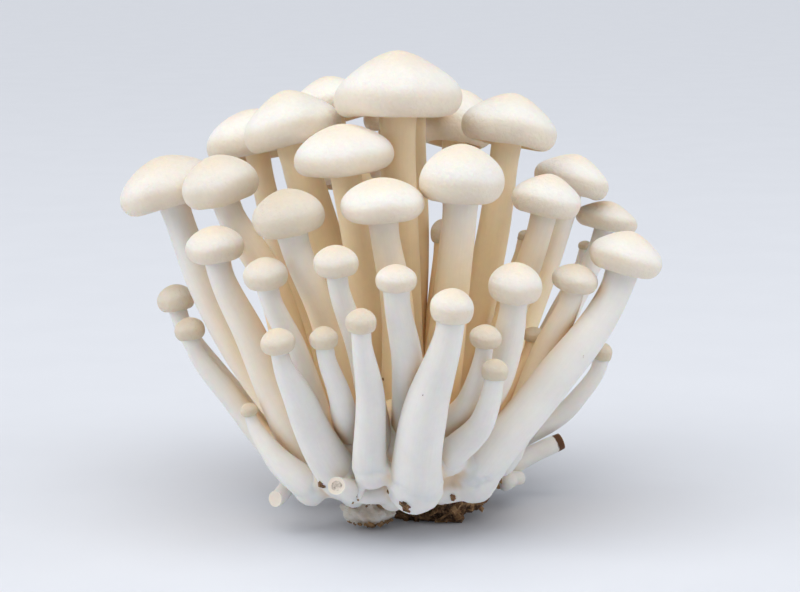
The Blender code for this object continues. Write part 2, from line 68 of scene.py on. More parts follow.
# Everything that grows, group by group and numbered within its group. A row gives the foot, the
# bend and the neck of the stem, the lean of its cap to the side and to the front, width and height
# of the cap, and the stem's radius at foot, bend and neck. A cut stem, or stub, has no cap.
GROWTH = {
    "crown_mushroom": (
        ((1.5,1,18.5), (0.5,-1,49), (0,-2,77), (0,-5), (23.5,11.4), (3.6,3.2,3.2)),
        ((-4.5,3,15.5), (-14.5,4,52), (-20,4,71), (-12,-7), (18.4,9.9), (3.7,3.6,3.4)),
        ((9.5,0,16.5), (18,1.5,52.5), (20.5,2,71), (10,-8), (18.1,9.2), (3.6,3,2.6)),
        ((-1.5,-6,15), (-7.5,-11,53.5), (-10,-12,67.5), (-6,0), (18.1,8.2), (3.6,3,2.7)),
        ((3.5,6,17), (5,8,47.5), (4.5,11.5,75.5), (2,-6), (11.4,6.6), (2.5,1.7,1.3)),
        ((1,12,16.5), (-0.5,24,47), (-2.5,28,71), (0,-8), (10,6), (2.6,2.2,1.8)),
        ((-1,9,17.5), (-5,18.5,55), (-14,20,73), (-10,-12), (16.9,8.2), (2.8,2.2,2)),
        ((6,9,17), (11,19,49), (11,21,69.5), (6,-14), (15.5,10.4), (3,2.6,2.2)),
        ((-8,9,13.5), (-23.5,18.5,51), (-27,20,67.5), (-10,-12), (18.9,8.9), (3,2.4,2.2)),
    ),
    "front_mushroom": (
        ((6,-8,14.5), (10,-18.5,51), (11,-20,63.5), (2,3), (15.1,9.3), (3.9,3.1,2.9)),
        ((0.5,-12,13.5), (-0.5,-22,45), (-3,-24,60.5), (-3,3), (14.9,6.8), (3.5,2.7,2.5)),
        ((-6,-13,13), (-14,-22.5,42.5), (-19.5,-25,58), (-10,4), (12.8,7.3), (3.5,2.7,2.5)),
        ((13,-14,19), (18.5,-21,31), (21,-26,46), (4,5), (9.8,6.4), (3.5,2.9,2.3)),
        ((-4,-17,12), (-8.5,-29,38.5), (-12,-32,52), (-3,5), (8,4.9), (2.9,2.2,1.7)),
        ((-10,-14,14.5), (-18,-26,37), (-23,-28,49), (-7,5), (8.1,5), (2.8,2.2,1.8)),
        ((2.5,-25,12), (4,-35.5,28.5), (8.5,-40,45.5), (5,5), (7.7,5.3), (4.6,3.7,2.2)),
        ((-1,-17,16.5), (0,-34.5,37.5), (-1.5,-38,50), (0,5), (7.1,4.1), (3.1,2.8,2.1)),
        ((-10,-20.5,12.5), (-17,-31,29), (-20.5,-36,39), (-8,5), (6.1,4), (3.7,2.9,1.4)),
        ((7.5,-20,19.5), (12.5,-27.5,28), (15,-30,38.5), (5,5), (5.7,3.7), (2.5,2.1,1.4)),
        ((-4.5,-28.5,15), (-5,-37,31), (-6.5,-42,43.5), (0,5), (5.3,3.8), (3.1,2.3,1.5)),
        ((-7.5,-17,17), (-10,-32.5,30.5), (-12.5,-36,39.5), (-4,5), (5,3.5), (2.4,2.1,1.4)),
        ((8.5,-24,15.5), (14.5,-31,24.5), (16.5,-34,33.5), (6,5), (4.7,3.2), (2.8,2.2,1.6)),
    ),
    "left_mushroom": (
        ((-15.5,-1,11), (-37,3,42), (-43,4,59.5), (-18,0), (18.7,8.6), (3.6,3.1,2.7)),
        ((-12.5,-6,12), (-26,-6,48), (-33.5,-6,61.5), (-15,2), (14.5,8.2), (3.9,3,2.4)),
        ((-13,-12,10.5), (-26.5,-15,36.5), (-33,-16,52), (-7,3), (10.9,5.8), (3.5,3.1,2.2)),
        ((-18.5,6,9), (-35,10,24), (-43.5,12,37.5), (-10,-3), (7.4,4.7), (2.7,2.1,1.6)),
        ((-19.5,0,9), (-31.5,4,21), (-40,6,33), (-10,0), (6,3.9), (2.5,2.1,1.5)),
    ),
    "right_mushroom": (
        ((9.5,-21,12), (24,-18,29), (39,-9,49.5), (14,0), (13.5,7.1), (4,3.5,2.8)),
        ((11,-4,12.5), (22,-7,42.5), (27,-8,59), (11,0), (13.1,7), (3.4,2.8,2.2)),
        ((12,4,13), (28,11,46), (32.5,12,60.5), (14,-6), (14.7,7.2), (3.3,2.5,2.3)),
        ((14.5,6,9.5), (31.5,13,37), (39,15,53), (12,-6), (12.1,5.3), (3.1,2.3,1.8)),
        ((14,-7,14), (25,-9,31.5), (32,-12,45.5), (10,2), (8.7,4.6), (3.4,2.8,1.8)),
    ),
    "bud_mushroom": (
        ((-14,-17,10), (-21.5,-16,16), (-26.5,-14,23), (-14,3), (3.3,2.2), (3.1,1.8,0.9)),
        ((15.5,10,8.5), (33.5,15.5,18), (39.5,18,26.5), (8,-2), (4,3.2), (2.4,1.8,1.4)),
        ((6,4,16), (6,7.5,40), (7,8,51.5), (2,-2), (4.2,4.2), (2.2,1.5,1.2)),
        ((13,10,13.5), (20.5,15,38.5), (24.5,16,50.5), (8,-2), (2.7,1.8), (2.3,1.6,1.2)),
        ((14.5,10,9.5), (31,18.5,36), (36.5,20,48), (8,-2), (2.8,1.6), (2.1,1.4,1)),
        ((10,-8,11.5), (21,-6,26), (24.5,-4,34.5), (8,0), (4.2,2.5), (2.2,1.7,1.3)),
    ),
    "back_mushroom": (
        ((-1.5,14,13.5), (-6,31,43), (-9,36,59), (-4,-14), (16,7.5), (3.1,2.8,2.4)),
        ((0.5,18,9.5), (-0.5,35.5,35), (-3.5,40,52), (0,-12), (14.5,7), (3.1,2.6,2.3)),
        ((6,16,11), (10.5,32,40.5), (12.5,36,58), (3,-12), (14.7,8.2), (3.1,2.8,2.5)),
        ((-6.5,16,8.5), (-15.5,31.5,32.5), (-22.5,36,50), (-10,-8), (12.3,7), (3.1,2.6,2.3)),
        ((10,13,14), (18,26.5,47), (21.5,30,68.5), (8,-16), (15.7,7.6), (3.1,2.8,2.4)),
        ((-5,13,14), (-16,28.5,45.5), (-22.5,33,67), (-8,-16), (14,7), (3.1,2.8,2.4)),
        ((0,22,6), (0,39.5,21.5), (-2,46,36), (0,-6), (8.4,5.5), (3.1,2.9,2.1)),
        ((5,22,6), (8,36.5,17), (10.5,44,30.5), (4,-6), (8.8,5.7), (3.1,3.1,2.3)),
        ((-6,21,6.5), (-10.5,38.5,25), (-13.5,44,40), (-6,-6), (9.2,5.2), (2.9,2.7,2.1)),
        ((9,16,7.5), (20,29,22.5), (24.5,34,36), (6,-6), (10.3,6.8), (3.1,2.8,2.5)),
        ((12,12,10.5), (24,24.5,37), (29.5,28,55), (10,-10), (12.1,6.4), (3.1,2.8,2.2)),
        ((-12,10,10.5), (-25.5,23,40), (-35.5,26,58), (-13,-10), (13.2,7.2), (3,2.8,2.2)),
    ),
    "stub": (
        ((20,6,7), (25.5,8.5,9), (31.5,11,11), (62,-20), (0,0), (2,1.7,1.6)),
        ((20,2,5), (21.5,4,5.5), (23,6,5.5), (55,-35), (0,0), (1.6,1.4,1.3)),
        ((-8.5,-27,11.4), (-9.9,-29.5,12.5), (-11.2,-32,13.5), (-15,70), (0,0), (2,1.7,1.6)),
        ((-18.9,-12,9.1), (-20.8,-14.5,8.1), (-22.8,-17,7), (-35,50), (0,0), (1.6,1.5,1.5)),
        ((-20.5,-2,10), (-22.5,-3.5,11), (-24,-5,12), (-50,35), (0,0), (1,0.9,0.8)),
    ),
}
ROWS = tuple(
    (f"{group}_{number}", *row)
    for group, rows in GROWTH.items()
    for number, row in enumerate(rows, 1)
)

# Stations along a stem while the stems are spread apart, and rounds of spreading
STATIONS = 15
SPREAD_ROUNDS = 240
# How readily a stem gives way sideways, front to back and up or down
YIELD = np.array([0.7, 1.0, 0.35])
# Stiffness of the spring that draws a stem back to its planned line each round
RETURN = 0.01

# Balls that stand for a cap while stems are spread: rows of (count, share of half width out,
# share of height up, share of half width as radius)
CAP_BALLS = ((12, 0.72, 0.22, 0.29), (6, 0.46, 0.55, 0.30), (1, 0.0, 0.42, 0.42))


def smooth_line(foot, bend, neck, start, end, count):
    """Points along a stem: two cubic pieces that meet smoothly at the bend."""
    foot, bend, neck = (np.array(p, float) for p in (foot, bend, neck))
    low = np.linalg.norm(bend - foot)
    high = np.linalg.norm(neck - bend)
    middle = (bend - foot) / low * high + (neck - bend) / high * low
    middle /= np.linalg.norm(middle)
    share = low / (low + high)

    def piece(a, ta, b, tb, t):
        t = t[:, None]
        return (
            (2 * t**3 - 3 * t**2 + 1) * a
            + (t**3 - 2 * t**2 + t) * ta
            + (3 * t**2 - 2 * t**3) * b
            + (t**3 - t**2) * tb
        )

    u = np.linspace(0.0, 1.0, count)
    lower = piece(foot, start * low, bend, middle * low, np.clip(u / share, 0, 1))
    upper = piece(
        bend, middle * high, neck, end * high, np.clip((u - share) / (1 - share), 0, 1)
    )
    return np.where((u < share)[:, None], lower, upper)


def cap_axis(lean):
    """Unit direction of a cap that leans to the side and to the front by these degrees."""
    side, front = np.radians(lean)
    x, y = np.sin(side), -np.sin(front)
    return np.array([x, y, np.sqrt(1 - x * x - y * y)])


def foot_direction(foot):
    """Unit direction in which a stem leaves the mound: outwards, and a little upwards."""
    out = np.array(foot) - np.array(MOUND_CENTRE)
    out /= np.linalg.norm(out)
    out[2] += 0.5
    return out / np.linalg.norm(out)


def stem_radii(radii, count):
    """Radius at each station: full at the foot, slimmer at the bend, slim at the neck."""
    foot, bend, neck = radii
    u = np.linspace(0.0, 1.0, count)
    swell = np.interp(u, (0.0, 0.10, 0.30, 0.55, 1.0), (0.92, 1.0, 0.72, 0.28, 0.0))
    return bend + (foot - bend) * swell + (neck - bend) * np.clip(2 * u - 1, 0, 1) ** 1.3


def cap_balls(axis, width, height):
    """Centres and radii of the balls that fill a cap, from its neck."""
    across = np.cross(axis, (0.0, 1.0, 0.0))
    across /= np.linalg.norm(across)
    along = np.cross(axis, across)
    centres, radii = [], []
    for count, out, up, size in CAP_BALLS:
        for turn in np.linspace(0, 2 * np.pi, count, endpoint=False):
            side = np.cos(turn) * across + np.sin(turn) * along
            centres.append(axis * up * height + side * out * width / 2)
            radii.append(size * width / 2)
    return np.array(centres), np.array(radii)


def planned_lines():
    """Every stem's line as planned, before neighbours are spread apart."""
    return np.array(
        [
            smooth_line(foot, bend, neck, foot_direction(foot), cap_axis(lean), STATIONS)
            for _, foot, bend, neck, lean, _, _ in ROWS
        ]
    )


def push_from_base(points, radii):
    """Moves that carry stations out of the mound, the block, the lump and the ground."""
    move = np.zeros_like(points)
    room = radii + GAP
    for centre, half in (
        (MOUND_CENTRE, MOUND_HALF),
        (LUMP_CENTRE, LUMP_HALF),
    ):
        reach = points - np.array(centre)
        grown = np.array(half) + room[..., None]
        depth = np.linalg.norm(reach / grown, axis=-1)
        inside = np.clip(1.0 / np.maximum(depth, 0.05) - 1.0, 0.0, 1.0)
        move += reach * inside[..., None]
    flat = points[..., :2] - np.array(BLOCK_CENTRE)
    far = np.linalg.norm(flat / (np.array(BLOCK_HALF) + room[..., None]), axis=-1)
    low = points[..., 2] - radii < BLOCK_HEIGHT + GAP
    short = np.where(low, np.clip(1.0 / np.maximum(far, 0.3) - 1.0, 0.0, 1.0), 0.0)
    move[..., :2] += flat * short[..., None] * 0.5
    sunk = np.clip(radii + GROUND_CLEARANCE - points[..., 2], 0, None)
    move[..., 2] += sunk
    return move


def spread_lines():
    """Every stem's line after neighbours that would touch have leaned off one another.

    Each stem is a chain of balls and each cap a cluster of balls that rides on the neck. Two
    balls of different mushrooms that come closer than the gap move apart by half the lack each,
    and every chain is smoothed and drawn back towards its planned line.
    """
    planned = planned_lines()
    rows = ROWS
    count = len(rows)
    radii = np.array([stem_radii(row[6], STATIONS) for row in rows])
    caps = [cap_balls(cap_axis(row[4]), *row[5]) for row in rows]
    cap_at = np.array([c for c, _ in caps])
    cap_size = np.array([r for _, r in caps])
    size = np.concatenate([radii, cap_size], axis=1).ravel()
    owner = np.repeat(np.arange(count), STATIONS + cap_size.shape[1])
    needed = size[:, None] + size[None, :] + GAP
    needed[owner[:, None] == owner[None, :]] = 0.0
    shift = np.zeros_like(planned)
    for turn in range(SPREAD_ROUNDS):
        lines = planned + shift
        balls = np.concatenate([lines, lines[:, -1:] + cap_at], axis=1).reshape(-1, 3)
        square = (balls**2).sum(1)
        apart = square[:, None] + square[None, :] - 2.0 * balls @ balls.T
        apart = np.sqrt(np.clip(apart, 1e-9, None))
        lack = np.clip(needed - apart, 0.0, None)
        weight = lack / apart
        push = balls * weight.sum(1)[:, None] - weight @ balls
        touching = np.maximum((lack > 0).sum(1), 1)[:, None]
        push = (0.5 * push / touching).reshape(count, -1, 3)
        move = push[:, :STATIONS] * 2.4
        head = push[:, STATIONS:]
        hit = np.maximum((np.abs(head).sum(-1) > 0).sum(1), 1)
        move[:, -1] += head.sum(1) / hit[:, None]
        shift += move * YIELD
        shift += push_from_base(planned + shift, radii)
        inner = shift.copy()
        inner[:, 1:-1] = (shift[:, :-2] + 2 * shift[:, 1:-1] + shift[:, 2:]) / 4
        inner[:, 0] = (shift[:, 0] * 3 + shift[:, 1]) / 4
        inner[:, -1] = (shift[:, -1] * 3 + shift[:, -2]) / 4
        shift = inner * (1.0 - RETURN * (1.0 - turn / SPREAD_ROUNDS))
    return planned + shift


# Balls of flesh that fill the base between the feet: centre and half widths
FILL_BALLS = (
    ((1.0, -1.0, 10.5), (16.0, 17.0, 5.6)),
    ((-5.0, -21.0, 10.0), (6.0, 5.0, 2.8)),
    ((-10.0, -18.0, 10.0), (5.0, 5.0, 3.0)),
    ((8.0, -19.0, 9.6), (5.0, 5.0, 2.8)),
    ((3.0, 1.0, 10.5), (12.5, 12.5, 7.0)),
    ((-1.2, -20.0, 16.0), (4.8, 6.2, 10.6)),
    ((-8.5, -17.0, 15.0), (4.6, 6.0, 9.8)),
    ((7.5, -18.0, 15.0), (4.6, 6.0, 8.8)),
)
# Cut stems that stand clear of the shared skin
LOOSE_STUBS = ("stub_1", "stub_2", "stub_4", "stub_5")
# Share of a stem's length over which the fused skin covers it, and how far the skin stands off
# the stem at the foot, a little higher and where it ends
FUSED_SHARE = 0.22
FUSED_OVER = (0.35, 0.18, -0.9)
# Fullness of each stem's foot over its solid, so that the feet run together, and how far the
# round foot reaches back as a share of its radius
FOOT_SWELL = 0.03
FOOT_REACH = 0.80

# ---------------------------------------------------------------- surfaces

# Sides round a mushroom: with a cap wider than WIDE_CAP, and with a smaller one or none
WIDE_CAP = 8
SIDES_WIDE = 96
SIDES_SMALL = 64
STEM_ROWS = 34
FOOT_ROWS = 6
GILL_ROWS = 9
LIP_ROWS = 8
CAP_ROWS = 20
# Share of a cap's height at which it is widest, and share of its half width that the lip rolls
# in to: widths, then shares
WIDEST = ((5.0, 10.0, 16.0, 22.0), (0.38, 0.32, 0.26, 0.20))
LIP_REACH = ((5.0, 12.0, 20.0), (0.60, 0.66, 0.76))
# How far the lip hangs below the neck, as a share of the cap's height
LIP_DROP = 0.08
# Share of the height that the gills are hollowed by, and height of their ridges
GILL_HOLLOW = 0.07
GILL_RIDGE = 0.22
# Rings of a stub's cut: shares of its radius, and how deep each is sunk as shares of it
CUT_WIDTHS = np.array([0.97, 0.90, 0.55])
CUT_SINKS = np.array([0.03, 0.06, 0.10])
# How far the lump's middle stands under its solid's, and how much its underside is flattened
LUMP_DROP = 0.12
LUMP_FLAT = 0.22
# Width of the cells that the feet are made one skin with, and rounds of smoothing after it
FUSED_CELL = 0.5
FUSED_SMOOTH = 14


def seeded(name):
    """A random source that depends on a piece's name alone."""
    return np.random.default_rng(sum(ord(c) * (i + 7) for i, c in enumerate(name)))


def even_turns(sides):
    """Turns at even steps round a ring."""
    return np.linspace(0, 2 * np.pi, sides, endpoint=False)


def upright(radius, turn, height):
    """Rings round an upright line, one radius and one height each."""
    radius = radius[:, None]
    return np.stack([radius * np.cos(turn), radius * np.sin(turn), height[:, None] + 0 * turn], -1)


def ball_rings(rows, sides):
    """Rings of a ball of radius one, lowest first, without its poles."""
    polar = np.linspace(np.pi, 0, rows + 2)[1:-1]
    return upright(np.sin(polar), even_turns(sides), np.cos(polar))


def fine_line(line, count):
    """A line through the stations, Catmull-Rom between them, at count even shares."""
    ends = np.concatenate([[2 * line[0] - line[1]], line, [2 * line[-1] - line[-2]]])
    place = np.linspace(0, len(line) - 1, count)
    i = np.minimum(place.astype(int), len(line) - 2)
    t = (place - i)[:, None]
    a, b, c, d = ends[i], ends[i + 1], ends[i + 2], ends[i + 3]
    return 0.5 * (
        2 * b
        + (c - a) * t
        + (2 * a - 5 * b + 4 * c - d) * t**2
        + (3 * b - a - 3 * c + d) * t**3
    )


def carried_frames(line, last):
    """Two unit vectors square to the line at every point, turned as little as possible."""
    tangent = np.gradient(line, axis=0)
    tangent /= np.linalg.norm(tangent, axis=1)[:, None]
    blend = np.clip((np.arange(len(line)) - len(line) + 6) / 5.0, 0, 1)[:, None]
    tangent = tangent * (1 - blend) + last * blend
    tangent /= np.linalg.norm(tangent, axis=1)[:, None]
    across = np.cross(tangent[0], (0.3, 1.0, 0.2))
    rows = []
    for direction in tangent:
        across = across - direction * (across @ direction)
        across = across / np.linalg.norm(across)
        rows.append(across)
    across = np.array(rows)
    return tangent, across, np.cross(tangent, across)


def paint(mesh, key, values):
    """Gives every vertex a vector of three values or a colour of four under the key."""
    width = values.shape[-1]
    kind, field = {4: ("FLOAT_COLOR", "color"), 3: ("FLOAT_VECTOR", "vector")}[width]
    layer = mesh.attributes.new(key, kind, "POINT")
    layer.data.foreach_set(field, values.astype(np.float32).ravel())


def closed_grid(name, rings, low, high, maps):
    """A closed mesh from rings of points (rows, sides, 3) and a pole at either end.

    Quads join neighbouring rings and triangles join the end rings to the poles. maps holds
    point attributes, one row of values for each ring point, with the poles' values first and last.
    """
    rows, sides, _ = rings.shape
    points = np.concatenate([[low], rings.reshape(-1, 3), [high]])
    here = np.arange(sides)
    ahead = (here + 1) % sides
    base = 1 + np.arange(rows - 1)[:, None] * sides
    quads = [base + here, base + ahead, base + sides + ahead, base + sides + here]
    quads = np.stack(quads, -1).reshape(-1, 4).tolist()
    start = 1 + (rows - 1) * sides
    bottom = np.stack([0 * here, 1 + ahead, 1 + here], -1).tolist()
    top = np.stack([start + here, start + ahead, 0 * here + len(points) - 1], -1).tolist()
    mesh = bpy.data.meshes.new(name)
    mesh.from_pydata(points * MM, [], quads + bottom + top)
    mesh.shade_smooth()
    for key, (low_value, values, high_value) in maps.items():
        values = np.asarray(values).reshape(-1, np.shape(values)[-1])
        paint(mesh, key, np.concatenate([[low_value], values, [high_value]]))
    return mesh


def place_piece(name, mesh, material, node):
    """Links a finished mesh as a piece that stands for a CAD node and rides on the one body."""
    piece = bpy.data.objects.new(name, mesh)
    mesh.materials.append(material)
    bpy.context.scene.collection.objects.link(piece)
    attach(piece, "root")
    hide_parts(node)
    return piece


def cap_profile(width, height, neck, bell):
    """Radius, height and widest level of gills, lip and skin, from the neck over to the crown.

    Gills rise in a shallow hollow, half a sine wave, from the neck to near the rim. The lip is a
    quarter ellipse from the rim's lowest ring to the widest ring. Above that the skin's height
    is a circle's, blended with one minus the radius to a power by the bell share, which fades
    towards the rim. Small caps are widest higher up and roll further in.
    """
    half = width / 2
    widest = np.interp(width, *WIDEST)
    low = max(half * np.interp(width, *LIP_REACH), neck * 1.10)
    edge = max(low - 0.05 * half, neck * 1.06)
    x = np.linspace(0.0, 1.0, GILL_ROWS)
    gill_r = neck * 1.02 + (edge - neck * 1.02) * x
    gill_h = height * (0.02 - (LIP_DROP - 0.02) * x**3 + GILL_HOLLOW * np.sin(np.pi * x) ** 0.8)
    turn = np.linspace(0.0, np.pi / 2, LIP_ROWS)[:-1]
    lip_r = np.concatenate([[(edge + low) / 2], low + (half - low) * np.sin(turn)])
    drop = (widest + LIP_DROP) * (1 - np.cos(turn)) - LIP_DROP
    lip_h = height * np.concatenate([[-LIP_DROP * 0.96], drop])
    phi = np.linspace(np.pi / 2, 0.0, CAP_ROWS + 1)[:-1]
    share = np.sin(phi)
    blend = bell * (1 - 0.65 * share**4)
    over = (1 - blend) * np.cos(phi) + blend * (1 - share**1.6)
    skin_h = height * (widest + (1 - widest) * over)
    radius = np.concatenate([gill_r, lip_r, half * share])
    return radius, np.concatenate([gill_h, lip_h, skin_h]), widest


def stem_profile(radii):
    """Shares along a stem and its radius there, the foot swollen by a bell curve."""
    u = np.linspace(0, 1, STEM_ROWS)
    return u, stem_radii(radii, STEM_ROWS) * (1 + FOOT_SWELL * np.exp(-((u / 0.22) ** 2)))


def stem_tube(path, frames, profile, rough, turn):
    """Rings of a stem and of its round foot.

    A ring is the path's point plus the radius, times its roughness, in the direction of each
    turn. The foot's rings are a half ball's, drawn back along the path by FOOT_REACH. Gives the
    directions, the foot, the stem, the foot's lowest point, and the foot's radii and setbacks.
    """
    tangent, across, along = (rows[:, None] for rows in frames)
    side = np.cos(turn)[None, :, None] * across + np.sin(turn)[None, :, None] * along
    stem = path[:, None] + side * (profile[:, None] * rough)[..., None]
    bend = np.linspace(np.pi / 2, 0.0, FOOT_ROWS + 1)[1:-1]
    wide = profile[0] * np.cos(bend)
    back = profile[0] * FOOT_REACH * np.sin(bend)
    foot = path[0] - tangent[0] * back[:, None, None]
    foot = foot + side[:1] * (wide[:, None] * rough[:1])[..., None]
    low = path[0] - tangent[0, 0] * profile[0] * FOOT_REACH
    return side, foot, stem, low, wide, back


def cap_top(neck, end, across, along, cap, stem, bell, wave, turn):
    """Rings of a cap, their radius and rise, and how far each ring is gill and is skin.

    cap_profile turned about the cap's axis, with two, three and seven slow lobes, a wavy rim and
    ridges for gills.
    """
    width, height = cap
    radius, rise, widest = cap_profile(width, height, stem, bell)
    out = radius[:, None] / (width / 2)
    lobes = 0.018 * np.sin(2 * turn + wave[3]) + 0.012 * np.sin(3 * turn + wave[4])
    lobes = lobes + 0.006 * np.sin(7 * turn + wave[5])
    rim = 0.022 * np.sin(3 * turn + wave[6]) + 0.012 * np.sin(5 * turn + wave[7])
    rim = out**3 * height * rim
    below = np.arange(len(radius)) < GILL_ROWS
    x = np.arange(len(radius)) / (GILL_ROWS - 1)
    ridged = np.where(below, np.clip(np.minimum(x, 1 - x) * 6, 0, 1), 0)
    ridge = GILL_RIDGE * np.where(np.arange(len(turn)) % 2 == 0, 1.0, -1.0)
    rim = rim + ridged[:, None] * ridge * min(1.0, width / 14)
    radial = np.cos(turn)[:, None] * across + np.sin(turn)[:, None] * along
    rings = neck + radial * (radius[:, None] * (1 + out**2 * lobes))[..., None]
    rings = rings + end * (rise[:, None] + rim)[..., None]
    up = np.clip((rise / height - widest) / (1 - widest), 0, 1)
    return rings, radius, rise, 1.0 * below, np.where(below, 0.0, 0.12 + 0.88 * up)


def mushroom(name, line, lean, cap, radii, bell, tone, painted_glow, crowd, material):
    """One mushroom as a closed surface along its line.

    stem_tube, whose radius slow sine waves round and along the stem swell a little, then cap_top
    or, on a stub, the shallow hollow of its cut.
    """
    rng = seeded(name)
    width, height = cap
    turn = even_turns(SIDES_WIDE if width > WIDE_CAP else SIDES_SMALL)
    path = fine_line(line, STEM_ROWS)
    end = path[-1] - path[-2]
    end = cap_axis(lean) if width else end / np.linalg.norm(end)
    frames = carried_frames(path, end)
    wave = rng.uniform(0, 2 * np.pi, 8)
    u, profile = stem_profile(radii)
    if width:
        profile = profile + 0.10 * profile * np.exp(-(((1 - u) / 0.05) ** 2))
    v = u[:, None]
    rough = 1 + 0.020 * np.sin(2 * turn + 2.5 * v + wave[0])
    rough = rough + 0.014 * np.sin(3 * turn - 4.0 * v + wave[1])
    rough = rough + 0.016 * np.sin(11 * v + 1.2 * np.sin(turn) + wave[2])
    length = np.cumsum(np.linalg.norm(np.diff(path, axis=0), axis=1))
    length = np.concatenate([[0], length])
    side, foot, stem, low, wide, back = stem_tube(path, frames, profile, rough, turn)
    neck = path[-1]
    if width:
        top, radius, rise, gill, skin = cap_top(
            neck, end, frames[1][-1], frames[2][-1], cap, profile[-1], bell, wave, turn
        )
        share = painted_glow + 0 * radius
        high = neck + end * height
    else:
        radius = profile[-1] * CUT_WIDTHS
        top = neck - end * (CUT_SINKS * profile[-1])[:, None, None]
        top = top + side[-1:] * (radius[:, None] * rough[-1:])[..., None]
        rise, skin = 0 * radius, 0 * radius
        share, gill = 0.3 + rise, 0.35 + rise
        high = neck - end * 0.12 * profile[-1]
    rings = np.concatenate([foot, stem, top])
    reach = np.concatenate([wide, profile, radius])
    level = np.concatenate([-back, length, length[-1] + rise])
    straight = upright(reach, turn, level) * MM + rng.uniform(0, 1, 3)
    none = np.zeros(len(foot))
    # Rows of the flesh map: painted warm light rising up the stem towards the cap, then gill, then
    # height on the cap's skin
    rows = [[none, painted_glow * u, share], [none, 0 * u, gill], [none, 0 * u, skin]]
    rows = np.stack([np.concatenate(parts) for parts in rows], -1)
    # Painted warm light deep in the cluster
    depth = painted_light_depth(rings)
    look = np.repeat(rows[:, None], len(turn), 1)
    look = np.concatenate([look, depth[..., None]], -1)
    scorch = 0 * depth
    if not width:
        scorch[-len(SCORCH[name]) :] = np.array(SCORCH[name])[:, None]
    # Painted shade where the flesh comes close to a neighbour
    near = crowding_shade(rings, *crowd, len(foot) + STEM_ROWS)
    tone_and_shade = np.stack([0 * depth + tone, near, scorch], -1)
    maps = {
        "tone_and_shade": (tone_and_shade[0, 0], tone_and_shade, tone_and_shade[-1, 0]),
        "flesh": (look[0, 0], look, look[-1, 0]),
        "grown": (straight[0].mean(0), straight, straight[-1].mean(0)),
    }
    mesh = closed_grid(name + "_surface", rings, low, high, maps)
    return place_piece(name + "_piece", mesh, material, name)


def painted_light_depth(points):
    """How deep a point stands inside the cluster, for painted warm light there: 1 on the middle
    line, 0 at its outer skin.
    """
    narrow = np.interp(points[..., 2], (8.0, 22.0, 45.0), (0.56, 0.74, 1.0))
    x = (points[..., 0] + 1.0) / 50.0 / narrow
    y = (points[..., 1] - 2.0) / 46.0 / narrow
    z = (points[..., 2] - 20.0) / 70.0
    deep = np.clip(1.0 - np.sqrt(x * x + y * y + np.clip(z, 0, None) ** 2), 0.0, 1.0)
    return deep * np.clip((points[..., 2] - 8.0) / 8.0, 0.0, 1.0)


def crowding_shade(rings, own, balls, sizes, owners, stem_rows):
    """How close a point stands to another stem or cap, the mask of painted shade between
    neighbours: 1 where they touch, 0 a little way off.

    One less the clear distance to the nearest ball of any other piece over a reach, squared. The
    reach is short on a stem and longer on a cap.
    """
    sides = rings.shape[1]
    few = rings[:, ::2].reshape(-1, 3).astype(np.float32)
    others = owners != own
    ball, size = balls[others], sizes[others]
    square = (few**2).sum(1)[:, None] + (ball**2).sum(1)[None] - 2 * few @ ball.T
    clear = (np.sqrt(np.maximum(square, 0)) - size[None]).min(1).reshape(len(rings), -1)
    clear = np.repeat(clear, 2, axis=1)[:, :sides]
    clear = (np.roll(clear, 1, 1) + clear) / 2
    reach = np.where(np.arange(len(rings)) < stem_rows, 2.6, 3.0)[:, None]
    weight = np.where(np.arange(len(rings)) < stem_rows, 1.0, 0.7)[:, None]
    low = np.clip((rings[..., 2] - 9.0) / 8.0, 0.25, 1.0)
    return np.clip(1 - clear / reach, 0, 1) ** 2 * weight * low


# ---------------------------------------------------------------- materials


def new_material(name):
    material = bpy.data.materials.new(name)
    material.use_nodes = True
    tree = material.node_tree
    return material, tree, tree.nodes["Principled BSDF"]


def put(tree, socket, value):
    """Links another node's output to the socket, or sets the socket to the value."""
    if isinstance(value, bpy.types.NodeSocket):
        tree.links.new(value, socket)
    else:
        socket.default_value = value


def add(tree, kind, settings=(), **inputs):
    """A node with its settings and the values of its inputs."""
    node = tree.nodes.new(kind)
    for key, value in dict(settings).items():
        setattr(node, key, value)
    for key, value in inputs.items():
        put(tree, node.inputs[key], value)
    return node


def mix(tree, share, a, b):
    """Colour a turning to colour b by the share."""
    node = add(tree, "ShaderNodeMix", {"data_type": "RGBA"})
    for index, value in ((0, share), (6, a), (7, b)):
        put(tree, node.inputs[index], value)
    return node.outputs[2]


def maths(tree, operation, a, b):
    node = add(tree, "ShaderNodeMath", {"operation": operation})
    put(tree, node.inputs[0], a)
    put(tree, node.inputs[1], b)
    return node.outputs[0]


def times(tree, a, b):
    return maths(tree, "MULTIPLY", a, b)


def ramp(tree, value, low, high, out_low=0.0, out_high=1.0):
    """The value taken smoothly from one range to another, held at the ends."""
    node = add(tree, "ShaderNodeMapRange", {"clamp": True, "interpolation_type": "SMOOTHSTEP"})
    for index, number in enumerate((value, low, high, out_low, out_high)):
        put(tree, node.inputs[index], number)
    return node.outputs[0]


def noise(tree, vector, scale, detail=3.0, rough=0.5):
    inputs = {"Vector": vector, "Scale": scale, "Detail": detail, "Roughness": rough}
    return add(tree, "ShaderNodeTexNoise", **inputs).outputs["Fac"]


def stretched(tree, vector, x, y, z):
    return add(tree, "ShaderNodeMapping", Vector=vector, Scale=(x, y, z)).outputs["Vector"]


def rgb(*values):
    return (*values, 1.0)


def object_place(tree):
    return add(tree, "ShaderNodeTexCoord").outputs["Object"]


